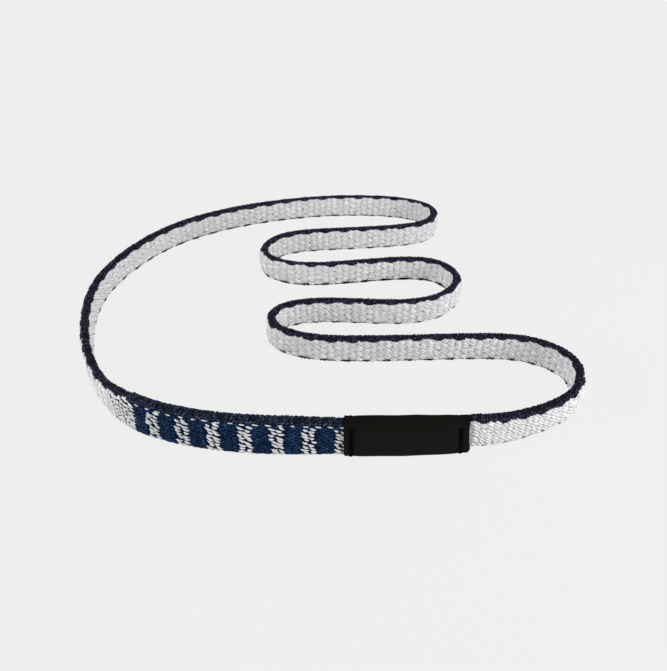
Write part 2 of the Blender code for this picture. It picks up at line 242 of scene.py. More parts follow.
# Reach of the lower navy border along the inner face
LOWER_INNER_PLACES = np.array((
    300.0, 338.0, 405.0, 425.0, 462.0, 474.0, 490.0, 510.0, 560.0,
)) * MM
LOWER_INNER_BORDER = np.array((1.45, 1.90, 1.85, 1.45, 1.45, 1.90, 1.85, 1.60, 1.50)) * MM

# The middle line of the loop on the floor, from the label's right end to the left
ROUTE_SAMPLES = 4000
PATH_POINTS = 300
ROUTE_MM = (
    (35.5, -57.9), (5.0, -59.1), (-20.0, -57.9), (-38.5, -52.7), (-49.5, -44.3),
    (-58.0, -31.0), (-63.6, -14.0), (-64.9, 3.0), (-60.6, 19.5), (-51.0, 35.2),
    (-36.5, 47.0), (-17.0, 55.4), (5.0, 59.7), (24.0, 59.2), (34.8, 55.5),
    (39.3, 49.6), (37.8, 42.7), (30.5, 37.9), (8.0, 34.5), (-9.0, 31.5),
    (-15.6, 25.7), (-16.2, 19.0), (-10.2, 13.5), (3.0, 12.0), (26.5, 14.9),
    (37.6, 12.0), (41.1, 3.8), (36.0, -4.8), (24.0, -8.8), (4.0, -8.2),
    (-7.0, -10.2), (-11.2, -14.4), (-10.6, -19.3), (-5.0, -23.7), (8.0, -26.0),
    (38.0, -25.2), (56.3, -26.9), (64.4, -34.6), (61.7, -46.2), (47.5, -54.5),
)

# The camera, in the route's own plan, and the picture that it makes
PICTURE_HEIGHT = 671.0
FOCAL_PIXELS = 650.0
SENSOR_MM = 36.0
CAMERA_PLAN = (4.85 * MM, -161.5 * MM)
CAMERA_HEIGHT = 109.6 * MM
CAMERA_PITCH = 36.8
NEAR_CLIP = 10.0 * MM
FAR_CLIP = 20.0

# Colours are linear red, green and blue
WHITE_YARN = (0.73, 0.73, 0.74)
WHITE_LIGHT = (0.97, 0.97, 0.98)
# The shade colours are painted shade, laid where a float dives and on its sides and underside
WHITE_SHADE = (0.30, 0.30, 0.31)
BAND_SHADE = (0.66, 0.67, 0.69)
# The ground's grey is painted shade for the gaps between the white floats; its specks are random darker
# spots
GAP_SHADE_GREY = (0.66, 0.66, 0.67)
SPECK_GREY = (0.22, 0.22, 0.24)
NAVY_YARN = (0.0015, 0.0020, 0.0075)
# The navy yarns' light colours are painted highlights, scattered over them by random tone and fibre
# grain
NAVY_HIGHLIGHT = (0.090, 0.098, 0.200)
NAVY_SHADE = (0.0005, 0.0006, 0.0018)
SLEEVE_NAVY_HIGHLIGHT = (0.080, 0.118, 0.235)
BLUE_YARN = (0.0008, 0.0060, 0.0280)
BLUE_LIGHT = (0.034, 0.108, 0.250)
# The blue shade is painted shade on the blue floats and also the own dark blue of the hollow end's core
BLUE_SHADE = (0.0010, 0.0080, 0.0300)
LABEL_BLACK = (0.0040, 0.0034, 0.0026)
LABEL_LIGHT = (0.0100, 0.0085, 0.0065)
SEAM_BLACK = (0.0016, 0.0016, 0.0016)
SEAM_LIGHT = (0.0060, 0.0060, 0.0060)
TACK_WHITE = (0.55, 0.55, 0.53)
TACK_LIGHT = (0.68, 0.68, 0.66)
FLOOR_GREY = (0.04, 0.04, 0.04)
FLOOR_GLOW = (0.830, 0.830, 0.830)
FLOOR_SIZE = 6.0

# Roughness and gloss of each look
WHITE_SHEEN = (0.5, 0.4)
GROUND_SHEEN = (0.6, 0.3)
NAVY_SHEEN = (0.5, 0.12)
BLUE_SHEEN = (0.6, 0.04)
LABEL_SHEEN = (0.62, 0.05)
SEAM_SHEEN = (0.8, 0.02)
TACK_SHEEN = (0.6, 0.3)
FLOOR_SHEEN = (1.0, 0.0)

# The yarns' fine grain: how many spots lie in a metre along a yarn and across it
LONG_FIBRES = (600.0, 3800.0)
SHORT_FIBRES = (2200.0, 2400.0)
FINE_FIBRES = (1700.0, 3600.0)
SPECKS = (900.0, 1500.0)
FIBRE_CONTRAST = (0.40, 0.66)
SPECK_CONTRAST = (0.55, 0.65)
# Below its range a crest takes the painted shade colour and above it the lit colour, so tops look lit;
# the white yarn's low range paints shade only near its ends and underside
CREST_RANGE = (0.05, 0.85)
WHITE_CREST_RANGE = (0.00, 0.35)
FIBRE_DETAIL = 3.0
FIBRE_BUMP_SHARE = 0.6
FIBRE_HEIGHT = 0.02 * MM

# The label's ribs
RIB_SCALE = 900.0
RIB_DISTORTION = 1.2
RIB_BUMP_SHARE = 0.35
RIB_HEIGHT = 0.03 * MM

# The light: a pale even room, and two soft lamps, each with its place and its power
ROOM_WHITE = (1.0, 1.0, 1.0, 1.0)
ROOM_STRENGTH = 0.46
LAMP_SIZE = 0.18
LAMPS = {
    "lamp_right": ((0.34, -0.165, 0.13), 0.94),
    "lamp_left": ((-0.41, -0.135, 0.12), 0.96),
}


class Route:
    """A smooth closed line through points on the floor, read by distance along it."""

    def __init__(self, points):
        closed = np.vstack([points, points[:1]])
        spans = np.sqrt(np.hypot(*np.diff(closed, axis=0).T))
        spans = spans / spans.sum()
        slopes = self.slopes(closed, spans)
        knots = np.concatenate([[0.0], np.cumsum(spans)])
        at = np.linspace(0.0, 1.0, ROUTE_SAMPLES + 1)
        span = np.clip(np.searchsorted(knots, at, side="right") - 1, 0, len(spans) - 1)
        width = spans[span][:, None]
        t = (at[:, None] - knots[span][:, None]) / width
        self.points = (
            (2.0 * t**3 - 3.0 * t**2 + 1.0) * closed[span]
            + (t**3 - 2.0 * t**2 + t) * width * slopes[span]
            + (3.0 * t**2 - 2.0 * t**3) * closed[span + 1]
            + (t**3 - t**2) * width * slopes[(span + 1) % len(spans)]
        )
        steps = np.diff(self.points, axis=0)
        lengths = np.hypot(*steps.T)
        self.places = np.concatenate([[0.0], np.cumsum(lengths)])
        self.length = self.places[-1]
        along = steps / lengths[:, None]
        before = np.roll(along, 1, axis=0)
        self.along = np.vstack([along + before, along[:1] + before[:1]])
        turn = before[:, 0] * along[:, 1] - before[:, 1] * along[:, 0]
        bend = turn / lengths
        self.bend = np.concatenate([bend, bend[:1]])

    @staticmethod
    def slopes(closed, spans):
        """The slope at each point that keeps the line's bend smooth there."""
        count = len(spans)
        system = np.zeros((count, count))
        right = np.zeros((count, 2))
        for i in range(count):
            before = spans[i - 1]
            after = spans[i]
            system[i, i - 1] += after
            system[i, i] += 2.0 * (before + after)
            system[i, (i + 1) % count] += before
            rise_after = (closed[i + 1] - closed[i]) / after
            rise_before = (closed[i] - closed[i - 1 if i else count - 1]) / before
            right[i] = 3.0 * (after * rise_before + before * rise_after)
        return np.linalg.solve(system, right)

    def frame(self, place):
        """The points and the outward directions at places."""
        at = place % self.length
        point = np.stack([np.interp(at, self.places, c) for c in self.points.T], axis=-1)
        along = np.stack([np.interp(at, self.places, c) for c in self.along.T], axis=-1)
        along /= np.linalg.norm(along, axis=-1, keepdims=True)
        return point, np.stack([-along[..., 1], along[..., 0]], axis=-1)

    def curvature(self, place):
        """The bend at places, positive where the line turns to its left."""
        return np.interp(place % self.length, self.places, self.bend)


ROUTE = Route(np.array(ROUTE_MM) * MM)
LOOP = ROUTE.length
NECK = MOUTH_INSET + SLEEVE_LENGTH
TAIL_END = NECK - BLIND_LENGTH


def middle_height(place):
    """Height of the tape's middle above the floor."""
    ends = (0.0, MOUTH_INSET, LABEL_LENGTH, LABEL_LENGTH + SETTLE_LENGTH, NECK,
            NECK + NECK_LENGTH, LOOP - SETTLE_LENGTH, LOOP)
    widths = (2.0 * FLARE_MIDDLE, LABEL_LEFT_WIDTH, LABEL_LEFT_WIDTH, SLEEVE_WIDTH,
              SLEEVE_WIDTH, WEB_WIDTH, WEB_WIDTH, 2.0 * FLARE_MIDDLE)
    return np.interp(place % LOOP, ends, widths) / 2.0


def sleeve_size(place):
    """Width and thickness of the hollow end, which is pressed under the label."""
    ends = (LABEL_LENGTH, LABEL_LENGTH + SETTLE_LENGTH)
    return (np.interp(place, ends, (PRESSED_WIDTH, SLEEVE_WIDTH)),
            np.interp(place, ends, (PRESSED_THICKNESS, SLEEVE_THICKNESS)))


def strip_size(place):
    """Width and thickness of the strip, its tail inside the hollow end included."""
    ends = (NECK, NECK + NECK_LENGTH, LOOP - FLARE_LENGTH, LOOP)
    wide = np.interp(place, (*ends, LOOP + TAIL_SETTLE),
                     (SLEEVE_WIDTH, WEB_WIDTH, WEB_WIDTH, WEB_WIDTH + FLARE_WIDTH, TAIL_WIDTH))
    thick = np.interp(place, ends,
                      (SLEEVE_THICKNESS, WEB_THICKNESS, WEB_THICKNESS, WEB_THICKNESS + FLARE_THICKNESS))
    squeezed = sleeve_size(place - LOOP)[1] - 2.0 * (SLEEVE_WALL + WEAVE_GAP)
    thin = np.interp(place, (LOOP, LOOP + MOUTH_INSET), (0.0, 1.0))
    return wide, thick + (squeezed - thick) * thin


def strip_drift(place):
    """How far the strip runs towards the loop's inside where it enters the label."""
    return np.interp(place, (LOOP - FLARE_LENGTH, LOOP, LOOP + MOUTH_INSET), (0.0, FLARE_DRIFT, 0.0))


def label_middle(place):
    """Height of the label's middle above the floor."""
    return np.interp(place, (0.0, MOUTH_INSET), (LABEL_RIGHT_WIDTH, LABEL_LEFT_WIDTH)) / 2.0


def label_size(place):
    """Width and thickness of the label, which stands on the floor."""
    ends = (0.0, MOUTH_INSET)
    thickness = np.interp(place, ends, (LABEL_RIGHT_THICKNESS, LABEL_LEFT_THICKNESS))
    return 2.0 * label_middle(place), thickness


def label_lean(place, down):
    """How much further right the label's lower part reaches than its upper part."""
    return LABEL_LEAN * (down - 0.5) * (1.0 - place / LABEL_LENGTH)


def place_in_frame(place, u, v, middle=middle_height):
    """Points at places, u outward from the tape's middle and v above it, bulged in the bends."""
    point, outward = ROUTE.frame(place)
    bend = ROUTE.curvature(place) * BELLY_RADIUS
    arch = 1.0 - (2.0 * v / SLEEVE_WIDTH) ** 2
    across = u + BELLY * np.clip(-bend, -1.0, 1.0) * arch
    plan = point + outward * across[..., None] + SHIFT
    return np.concatenate([plan, (middle(place) + v)[..., None]], axis=-1)


class Tape:
    """A skin round the route, read by place and by reach."""

    def __init__(self, size, middle=middle_height, drift=None, lean=None, edge_round=None):
        self.size = size
        self.middle = middle
        self.drift = drift
        self.lean = lean
        self.edge_round = edge_round

    def section(self, place):
        """Width, thickness and edge radius."""
        width, thickness = self.size(place)
        r = EDGE_ROUND_SHARE * thickness
        if self.edge_round:
            r = np.minimum(r, self.edge_round)
        return width, thickness, r

    def half_way(self, place):
        """The reach from the middle of the upper edge to the middle of the lower one."""
        width, thickness, r = self.section(place)
        return thickness + width - 4.0 * r + np.pi * r

    def spot(self, place, reach, lift=0.0):
        """Points on the skin, lifted off it."""
        place, reach = np.broadcast_arrays(place, reach)
        width, thickness, r = self.section(place)
        half = self.half_way(place)
        reach = (reach + half) % (2.0 * half) - half
        away = np.abs(reach)
        down = np.where(away > half / 2.0, half - away, away)
        top = thickness / 2.0 - r
        turn = np.clip((down - top) / r, 0.0, np.pi / 2.0)
        face = np.maximum(down - top - r * np.pi / 2.0, 0.0)
        u = np.minimum(down, top) + (r + lift) * np.sin(turn)
        v = width / 2.0 - r + (r + lift) * np.cos(turn) - face
        v = np.where(away > half / 2.0, -v, v)
        u = u * np.sign(reach)
        if self.drift:
            u = u - self.drift(place)
        if self.lean:
            place = place - self.lean(place, away / half)
        return place_in_frame(place, u, v, self.middle)


def plan_shift():
    """From the route's own plan to the frame, so that the strip lies on its solid."""
    low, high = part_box("lower_selvedge")
    places = np.linspace(NECK, LOOP + TAIL_END, ROUTE_SAMPLES)
    point, outward = ROUTE.frame(places)
    sides = np.concatenate([point + outward * WEB_THICKNESS / 2.0 * s for s in (1, -1)])
    middle = (sides.min(axis=0) + sides.max(axis=0)) / 2.0
    return (np.array(low)[:2] + np.array(high)[:2]) / 2.0 - middle


SHIFT = plan_shift()
STRIP = Tape(strip_size, drift=strip_drift)
SLEEVE = Tape(sleeve_size)
LABEL = Tape(label_size, label_middle, lean=label_lean, edge_round=LABEL_ROUND)


class Patch:
    """Four-sided faces gathered into one mesh, with a tone and a crest for each point."""

    def __init__(self):
        self.points = []
        self.faces = []
        self.maps = []
        self.tones = []
        self.crests = []
        self.count = 0

    def add(self, points, faces, maps, tones=PLAIN_TONE, crests=FULL_CREST):
        """Takes in points and faces, and the grain, tone and crest at each point."""
        self.points.append(points.reshape(-1, 3))
        self.faces.append(faces.reshape(-1, 4) + self.count)
        self.maps.append(maps.reshape(-1, 2))
        self.tones.append(np.broadcast_to(tones, points.shape[:-1]).reshape(-1))
        self.crests.append(np.broadcast_to(crests, points.shape[:-1]).reshape(-1))
        self.count += len(self.points[-1])

    def mesh(self, name):
        """The mesh, which carries the grain, tones and crests for its material."""
        faces = np.concatenate(self.faces).astype(np.int32)
        mesh = bpy.data.meshes.new(name)
        mesh.vertices.add(self.count)
        mesh.vertices.foreach_set("co", np.concatenate(self.points).astype(np.float32).ravel())
        mesh.loops.add(faces.size)
        mesh.loops.foreach_set("vertex_index", faces.ravel())
        mesh.polygons.add(len(faces))
        mesh.polygons.foreach_set("loop_start", np.arange(0, faces.size, 4, dtype=np.int32))
        mesh.polygons.foreach_set("use_smooth", np.ones(len(faces), dtype=bool))
        mesh.update(calc_edges=True)
        for label, parts in (("tone", self.tones), ("crest", self.crests)):
            values = np.concatenate(parts).astype(np.float32)
            mesh.attributes.new(label, "FLOAT", "POINT").data.foreach_set("value", values)
        values = np.concatenate(self.maps).astype(np.float32).ravel()
        mesh.attributes.new("yarn", "FLOAT2", "POINT").data.foreach_set("vector", values)
        return mesh


def ring_faces(rings, sides, closed=False):
    """Faces between rings of points, and over the two end rings unless it is closed."""
    i = np.arange(rings if closed else rings - 1)[:, None] * sides
    j = np.arange(sides)[None, :]
    k = (j + 1) % sides
    up = (i + sides) % (rings * sides)
    body = np.stack([i + j, i + k, up + k, up + j], axis=-1).reshape(-1, 4)
    if closed:
        return body
    fan = np.array([(a, a + 1, sides - a - 2, sides - a - 1) for a in range(sides // 2 - 1)])
    return np.concatenate([fan[:, ::-1], body, fan + (rings - 1) * sides])


def circle(sides):
    """Angles evenly round a yarn."""
    return np.arange(sides) / sides * 2.0 * np.pi


def round_shares(sides):
    """Shares of half the way round a section, from minus one to nearly one."""
    return (np.arange(sides) / sides * 2.0 - 1.0)[None, :]


def mapped(along, across):
    """Coordinates for the grain, along a yarn and across it."""
    return np.stack(np.broadcast_arrays(along, across), axis=-1)


def jitter(rng, size, amount):
    """Random values up to an amount on either side of zero."""
    return rng.uniform(-1.0, 1.0, size) * amount


def add_floats(patch, tape, yarn, place, reach, rng, stretch=1.0, raised=0.0, turned=0.0,
               tones=YARN_TONES):
    """Plump yarn floats that rise out of the tape and dive back into it at both ends."""
    n = len(place)

    def each(values):
        return np.broadcast_to(values, n)[:, None, None]

    t = np.sin(np.linspace(-1.0, 1.0, yarn.rings) * np.pi / 2.0)[None, :, None]
    angle = circle(FLOAT_SIDES)[None, None, :]
    length = each(yarn.length * stretch * (1.0 + jitter(rng, n, yarn.looseness * SIZE_JITTER_SHARE)))
    width = each(yarn.width * (1.0 + jitter(rng, n, SIZE_JITTER_SHARE)))
    lift = each(yarn.lift + raised + jitter(rng, n, LIFT_JITTER))
    tilt = each(np.radians(yarn.tilt + turned + jitter(rng, n, yarn.looseness * TILT_JITTER)))
    place = each(place + jitter(rng, n, yarn.looseness * PLACE_JITTER))
    reach = each(reach + jitter(rng, n, yarn.looseness * REACH_JITTER))
    swell = np.maximum(1.0 - np.abs(t) ** END_POWER, END_SWELL_SHARE) ** yarn.sharpness
    along = t * length / 2.0
    across = np.cos(angle) * width / 2.0 * swell
    rise = lift - END_DIVE_SHARE * CORE_DEPTH * t**2 + np.sin(angle) * yarn.depth / 2.0 * swell
    run = along * np.cos(tilt) + across * np.sin(tilt)
    climb = across * np.cos(tilt) - along * np.sin(tilt)
    points = tape.spot(place + run, reach + climb, rise)
    starts = np.arange(n)[:, None, None] * yarn.rings * FLOAT_SIDES
    maps = mapped(along, angle * width / 2.0 / np.pi) + (place + reach * GRAIN_SPREAD)[..., None]
    # Painted light: the crest is full on a float's top, lower on its sides and underside and nothing at
    # its ends, where it dives; the looks paint shade where it is low
    crest = (1.0 - t**2) * (SIDE_CREST + (1.0 - SIDE_CREST) * np.sin(angle))
    patch.add(points, ring_faces(yarn.rings, FLOAT_SIDES)[None] + starts, maps,
              each(rng.uniform(*tones, n)), crest)


def add_pairs(patch, tape, yarn, place, reach, rng):
    """Floats of two yarns that lie side by side."""
    tilt = np.radians(yarn.tilt)
    for off in (-PAIR_STEP / 2.0, PAIR_STEP / 2.0):
        add_floats(patch, tape, yarn, place + off * np.sin(tilt), reach + off * np.cos(tilt), rng)


def add_core(patch, tape, start, end, depth=CORE_DEPTH):
    """The closed body beneath the floats."""
    places = np.linspace(start, end, int((end - start) / CORE_STEP) + 2)[:, None]
    half = tape.half_way(places)
    reach = round_shares(CORE_SIDES) * half
    points = tape.spot(places, -reach, -depth)
    patch.add(points, ring_faces(len(places), CORE_SIDES), mapped(places, reach))


def waves_at(place):
    """The count of scallops at a place, from nought just past the neck."""
    return np.interp(place, WAVE_PLACES, WAVE_COUNTS)


def scallop(waves):
    """The navy border's edge: one at its points and minus one between them."""
    return 1.0 - 2.0 * np.abs(np.sin(np.pi * waves))


def upper_border(place, side):
    """Reach of the upper navy border on the outer face or the inner one."""
    if side > 0:
        return np.interp(place, OUTER_BORDER_PLACES, OUTER_BORDER, left=SLEEVE_BORDER)
    return np.interp(place, INNER_BORDER_PLACES, INNER_BORDER)


def lower_border(place, side):
    """Reach of the lower navy border on the outer face or the inner one."""
    if side > 0:
        return np.full_like(place, LOWER_BORDER)
    return np.interp(place, LOWER_INNER_PLACES, LOWER_INNER_BORDER)


def lattice(tape, columns, side, step, cycle, lower, ripple=1.0):
    """Places, reaches and row numbers of one face's floats, down to the lower border."""
    c, k = np.meshgrid(np.arange(len(columns)), np.arange(-1, MOST_ROWS), indexing="ij")
    place = columns[c]
    waves = waves_at(place)
    reach = upper_border(place, side) + step * np.maximum(k + 0.5, FIRST_ROW_SHARE)
    beyond = tape.half_way(place) - np.broadcast_to(lower, len(columns))[c] - reach
    upper_share = np.clip(1.0 - k / WAVE_FADE_ROWS, 0.0, 1.0)
    lower_share = np.clip(1.0 - beyond / step / WAVE_FADE_ROWS, 0.0, 1.0)
    wave = (upper_share * WAVE_HEIGHT * scallop(waves)
            - lower_share * LOWER_WAVE_HEIGHT * scallop(waves + LOWER_WAVE_SHIFT))
    keep = ((k - 1 - side * c) % cycle == 0) & (beyond > 0.0)
    reach = (reach + ripple * wave) * side
    return place[keep], reach[keep], k[keep]


def white_floats(side, rng):
    """The white floats of one face of the strip, finer beside the neck."""
    patch = Patch()
    settled = np.interp(SETTLED_WAVE, WAVE_COUNTS, WAVE_PLACES)
    fine = np.arange(NECK + FINE_STEP / 2.0, settled - FINE_STEP / 2.0, FINE_STEP)
    place, reach, _ = lattice(STRIP, fine, side, FINE_ROW_STEP, FINE_ROW_CYCLE,
                              lower_border(fine, side))
    add_floats(patch, STRIP, FINE_FLOAT, place, reach, rng)
    counts = np.arange(SETTLED_WAVE, WAVE_COUNTS[-1] - 0.5, 1.0 / COLUMNS_PER_WAVE)
    columns = np.interp(counts, WAVE_COUNTS, WAVE_PLACES)
    place, reach, _ = lattice(STRIP, columns, side, ROW_STEP, ROW_CYCLE,
                              lower_border(columns, side))
    add_pairs(patch, STRIP, OUTER_FLOAT if side > 0 else INNER_FLOAT, place, reach, rng)
    return patch


def add_edge_loops(patch, tape, places, inner, outer, middle, rows, wave, rng, rise=0.0):
    """Rows of loops over one edge of the tape, between its two borders."""
    for row in range(rows):
        share = (row + 0.5) / rows
        reach = -inner + (inner + outer) * share + wave * (2.0 * share - 1.0)
        shifted = places + EDGE_STEP / 2.0 * (row % 2)
        stretch = (inner + outer) / rows / (EDGE_LOOP.length * LOOP_SPAN_SHARE)
        tones = LOOP_TONES if 0 < row < rows - 1 else BORDER_TONES
        add_floats(patch, tape, EDGE_LOOP, shifted, middle + reach, rng, stretch,
                   wave * LOOP_RISE_SHARE + rise, tones=tones)


def add_skin(patch, tape, places, low, high):
    """A thin skin round an edge of the tape, between two reaches."""
    share = np.linspace(1.0, 0.0, SKIN_COLUMNS)[None, :]
    reach = low[:, None] + (high - low)[:, None] * share
    outer = tape.spot(places[:, None], reach, SKIN_LIFT)
    inner = tape.spot(places[:, None], reach, SKIN_LIFT - SKIN_THICKNESS)[:, ::-1]
    maps = mapped(places[:, None], reach)
    patch.add(np.concatenate([outer, inner], axis=1), ring_faces(len(places), 2 * SKIN_COLUMNS),
              np.concatenate([maps, maps[:, ::-1]], axis=1), SKIN_TONE, SKIN_CREST)


def add_border(patch, side, rng):
    """Floats end to end along the strip's upper border, up and down its scallops."""
    counts = np.arange(WAVE_COUNTS[0] + 1.0, WAVE_COUNTS[-1] - 0.5, 1.0 / BORDER_PER_WAVE)
    ends = np.interp(counts, WAVE_COUNTS, WAVE_PLACES)
    heights = upper_border(ends, side) + WAVE_HEIGHT * scallop(counts) - BORDER_INSET
    columns = (ends[1:] + ends[:-1]) / 2.0
    reach = (heights[1:] + heights[:-1]) / 2.0
    slope = np.degrees(np.arctan2(np.diff(heights), np.diff(ends)))
    add_floats(patch, STRIP, BORDER_FLOAT, columns, reach * side, rng, turned=-slope * side,
               tones=BORDER_TONES)


def navy_bands(rng):
    """The skins beneath the navy loops, and the floats along the upper edge's borders."""
    patch = Patch()
    places = np.arange(NECK, LOOP + MOUTH_INSET, SKIN_STEP)
    waves = waves_at(places)
    wave = WAVE_HEIGHT * scallop(waves) - BORDER_INSET
    add_skin(patch, STRIP, places, -upper_border(places, -1) - wave,
             upper_border(places, 1) + wave)
    wave = LOWER_WAVE_HEIGHT * scallop(waves + LOWER_WAVE_SHIFT) - BORDER_INSET
    half = STRIP.half_way(places)
    add_skin(patch, STRIP, places, half - lower_border(places, 1) - wave,
             half + lower_border(places, -1) + wave)
    for side in (1, -1):
        add_border(patch, side, rng)
    return patch


def upper_navy(rng):
    """Loops over the strip's upper edge."""
    patch = Patch()
    places = np.arange(NECK + EDGE_STEP / 2.0, LOOP, EDGE_STEP)
    outer = upper_border(places, 1) - ROW_STEP / 2.0
    inner = upper_border(places, -1) - ROW_STEP / 2.0
    wave = WAVE_HEIGHT * scallop(waves_at(places))
    add_edge_loops(patch, STRIP, places, inner, outer, 0.0, UPPER_ROWS, wave, rng)
    return patch


def lower_navy(rng):
    """Loops over the strip's lower edge."""
    patch = Patch()
    places = np.arange(NECK + EDGE_STEP / 2.0, LOOP, EDGE_STEP)
    wave = LOWER_WAVE_HEIGHT * scallop(waves_at(places) + LOWER_WAVE_SHIFT)
    half = STRIP.half_way(places)
    add_edge_loops(patch, STRIP, places, lower_border(places, 1), lower_border(places, -1),
                   half, LOWER_ROWS, wave, rng)
    return patch


def sleeve_edges(rng):
    """Navy loops over both edges of the hollow end."""
    patch = Patch()
    places = np.arange(LABEL_LENGTH - SLEEVE_EDGE_STEP / 2.0, NECK, SLEEVE_EDGE_STEP)
    wave = np.zeros(len(places))
    add_edge_loops(patch, SLEEVE, places, SLEEVE_BORDER, SLEEVE_BORDER, 0.0,
                   SLEEVE_ROWS, wave, rng, SLEEVE_EDGE_RISE)
    add_edge_loops(patch, SLEEVE, places, SLEEVE_LOWER_BORDER, SLEEVE_LOWER_BORDER,
                   SLEEVE.half_way(places), LOWER_ROWS, wave, rng)
    return patch


def sleeve_lattice(columns, side):
    """Places, reaches and row numbers of the floats of one face of the hollow end."""
    return lattice(SLEEVE, columns, side, BAND_ROW_STEP, FINE_ROW_CYCLE, SLEEVE_LOWER_BORDER,
                   ripple=0.0)


def banded_floats(side, rng):
    """White floats: two columns to a band, a few at the neck, and dashes along the top."""
    patch = Patch()
    middles = np.arange(BAND_PLACE, NECK_WHITE_PLACE, BAND_PERIOD)
    pairs = middles[:, None] + np.array((-BAND_OFFSET, BAND_OFFSET))
    neck = np.arange(NECK_WHITE_PLACE, NECK, NECK_COLUMN_STEP)
    place, reach, row = sleeve_lattice(np.concatenate([pairs.ravel(), neck]), side)
    add_floats(patch, SLEEVE, BAND_FLOAT, place[row > 0], reach[row > 0], rng)
    dashes = np.arange(LABEL_LENGTH, NECK, DASH_STEP)
    border = upper_border(dashes, side) + DASH_FLOAT.width / 2.0
    add_floats(patch, SLEEVE, DASH_FLOAT, dashes, border * side, rng)
    return patch


def blue_floats(side, rng):
    """Blue floats between the white bands, and in the uppermost rows."""
    patch = Patch()
    step = BAND_PERIOD / BLUE_COLUMNS
    columns = np.arange(BAND_PLACE - step / 2.0, NECK_WHITE_PLACE, step)
    place, reach, row = sleeve_lattice(columns, side)
    away = np.abs((place - BAND_PLACE + BAND_PERIOD / 2.0) % BAND_PERIOD - BAND_PERIOD / 2.0)
    blue = (away > BAND_HALF) | (row < 1)
    add_floats(patch, SLEEVE, BLUE_FLOAT, place[blue], reach[blue], rng, tones=BLUE_TONES)
    return patch


def label_shell():
    """The label: a tube of thin cloth, pulled in along its two seams."""
    patch = Patch()
    count = int(LABEL_LENGTH / LABEL_STEP)
    shares = -round_shares(LABEL_SIDES)
    right = np.interp(shares, TRIM_SHARES, RIGHT_TRIMS)
    left = np.interp(shares, TRIM_SHARES, LEFT_TRIMS)
    along = np.linspace(0.0, 1.0, count)[:, None]
    places = right + (LABEL_LENGTH - left - right) * along
    reach = shares * LABEL.half_way(places)
    pull = sum(np.exp(-((places - middle) / SEAM_WIDTH) ** 2) for middle in SEAM_PLACES)
    ripple = np.prod([np.sin(places * a + reach * b) for a, b in RIPPLE_WAVES], axis=0)
    rise = LABEL_RIPPLE * ripple - SEAM_DIP * pull
    outer = LABEL.spot(places, reach, rise)
    inner = LABEL.spot(places, reach, rise - LABEL_WALL)[::-1]
    maps = mapped(places, reach)
    patch.add(np.concatenate([outer, inner]), ring_faces(2 * count, LABEL_SIDES, closed=True),
              np.concatenate([maps, maps[::-1]]))
    return patch


def seam(middle):
    """A zigzag of thread down each face of the label."""
    patch = Patch()
    run = float(LABEL.half_way(middle)) - 2.0 * SEAM_MARGIN
    stitches = int(run / SEAM_STEP)
    count = stitches * STITCH_POINTS + 1
    along = np.linspace(0.0, stitches, count)[:, None]
    place = middle + (np.abs(along % 2.0 - 1.0) - 0.5) * SEAM_WIDTH
    reach = SEAM_MARGIN + run * along / stitches
    rise = SEAM_ARCH * np.abs(np.sin(np.pi * along)) - SEAM_SINK - SEAM_DIP
    angle = circle(SEAM_SIDES)[None, :]
    across = np.cos(angle) * SEAM_THREAD / 2.0
    up = np.sin(angle) * SEAM_THREAD / 2.0
    for side in (1, -1):
        points = LABEL.spot(place, reach * side + across, rise + up)
        maps = mapped(along * SEAM_WIDTH, angle * SEAM_THREAD)
        # Painted light: the thread's top takes the lit colour and its underside is painted in shade
        patch.add(points, ring_faces(count, SEAM_SIDES), maps, crests=(1.0 + np.sin(angle)) / 2.0)
    return patch


def new_look(name, sheen):
    """A material with its roughness and gloss, its nodes, its links and its shader."""
    look = bpy.data.materials.new(name)
    look.use_nodes = True
    shader = look.node_tree.nodes["Principled BSDF"]
    for socket, value in zip(("Roughness", "Specular IOR Level"), sheen):
        shader.inputs[socket].default_value = value
    return look, look.node_tree.nodes, look.node_tree.links, shader


def attribute(nodes, name):
    """A node that reads what the mesh code wrote for each point."""
    node = nodes.new("ShaderNodeAttribute")
    node.attribute_name = name
    return node


def stretched(nodes, links, value, limits):
    """A node's output, stretched from nothing to full between two limits."""
    node = nodes.new("ShaderNodeMapRange")
    for socket, limit in zip(("From Min", "From Max"), limits):
        node.inputs[socket].default_value = limit
    links.new(value, node.inputs["Value"])
    return node.outputs["Result"]


def add_relief(nodes, links, shader, height, share, distance):
    """Bumps too fine for the mesh, from a node's output."""
    bump = nodes.new("ShaderNodeBump")
    bump.inputs["Strength"].default_value = share
    bump.inputs["Distance"].default_value = distance
    links.new(height, bump.inputs["Height"])
    links.new(bump.outputs["Normal"], shader.inputs["Normal"])


def colour_mix(nodes, links, factor, first, second):
    """A colour between two, each a constant or another node's output."""
    mix = nodes.new("ShaderNodeMix")
    mix.data_type = "RGBA"
    for socket, value in (("A", first), ("B", second)):
        if isinstance(value, tuple):
            mix.inputs[socket].default_value = (*value, 1.0)
        else:
            links.new(value, mix.inputs[socket])
    links.new(factor, mix.inputs["Factor"])
    return mix.outputs["Result"]


def grain(nodes, links, spots, contrast):
    """Fine noise, with so many spots in a metre along the yarn and across it."""
    stretch = nodes.new("ShaderNodeVectorMath")
    stretch.operation = "MULTIPLY"
    stretch.inputs[1].default_value = (*spots, 1.0)
    links.new(attribute(nodes, "yarn").outputs["Vector"], stretch.inputs[0])
    noise = nodes.new("ShaderNodeTexNoise")
    noise.inputs["Scale"].default_value = 1.0
    noise.inputs["Detail"].default_value = FIBRE_DETAIL
    links.new(stretch.outputs[0], noise.inputs["Vector"])
    return stretched(nodes, links, noise.outputs["Fac"], contrast)


